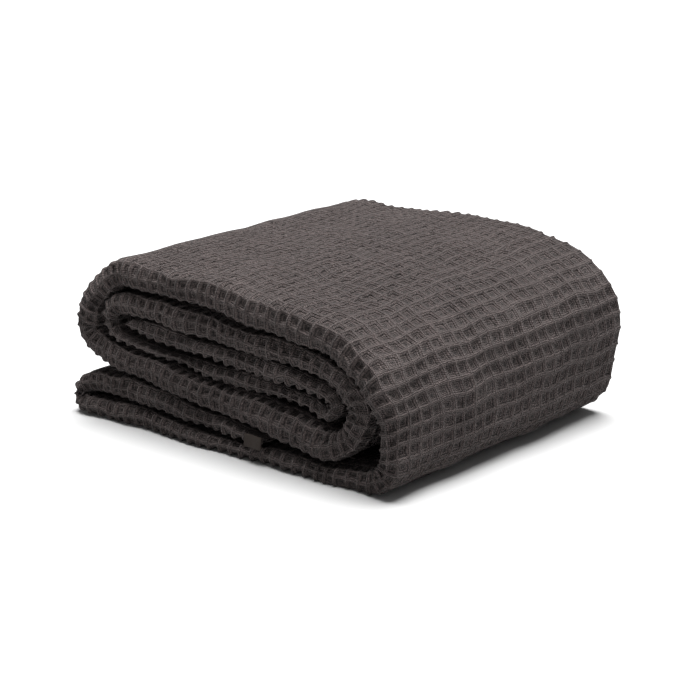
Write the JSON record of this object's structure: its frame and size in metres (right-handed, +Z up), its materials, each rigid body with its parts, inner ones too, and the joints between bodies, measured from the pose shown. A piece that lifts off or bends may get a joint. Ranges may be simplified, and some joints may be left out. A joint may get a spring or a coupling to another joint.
{
  "type": "folded throw blanket",
  "caption": "Waffle-weave cotton throw folded lengthwise to six plies and laid in a flat spiral, with round folds in front and hems behind.",
  "frame": {"origin": "middle of the footprint, on the surface the throw rests on", "axes": "+Z up, +Y from the front folds to the hem edges at the back, +X towards the spine where the outer leaf turns up"},
  "size_m": [0.2674, 0.2199, 0.1169],
  "materials": {
    "waffle_cloth": "charcoal waffle-weave cotton, matt",
    "hem_cloth": "charcoal cotton hem, turned and stitched",
    "thread": "charcoal sewing thread",
    "label_tape": "blank woven tape"
  },
  "bodies": {
    "base": {"base_leaf": "waffle_cloth", "tail_fold": "waffle_cloth", "tail_flap": "waffle_cloth", "tail_hem": "hem_cloth", "spine_corner": "waffle_cloth", "base_side_hem": "hem_cloth", "tail_hem_stitching": "thread", "care_label": "label_tape"},
    "roll": {"spine_wall": "waffle_cloth", "shoulder_fold": "waffle_cloth", "top_leaf": "waffle_cloth", "left_outer_fold": "waffle_cloth", "lower_outer_leaf": "waffle_cloth", "right_inner_fold": "waffle_cloth", "upper_inner_leaf": "waffle_cloth", "left_inner_fold": "waffle_cloth", "lower_inner_leaf": "waffle_cloth", "core_fold": "waffle_cloth", "core_leaf": "waffle_cloth", "core_hem": "hem_cloth", "roll_side_hem": "hem_cloth"}
  },
  "joints": [
    {"name": "unfold", "type": "hinge", "parent": "base", "child": "roll", "pos_m": [0.116, 0, 0.019], "axis": [0, 1, 0], "range_deg": [0, 90], "deforming": ["spine_corner"]}
  ]
}
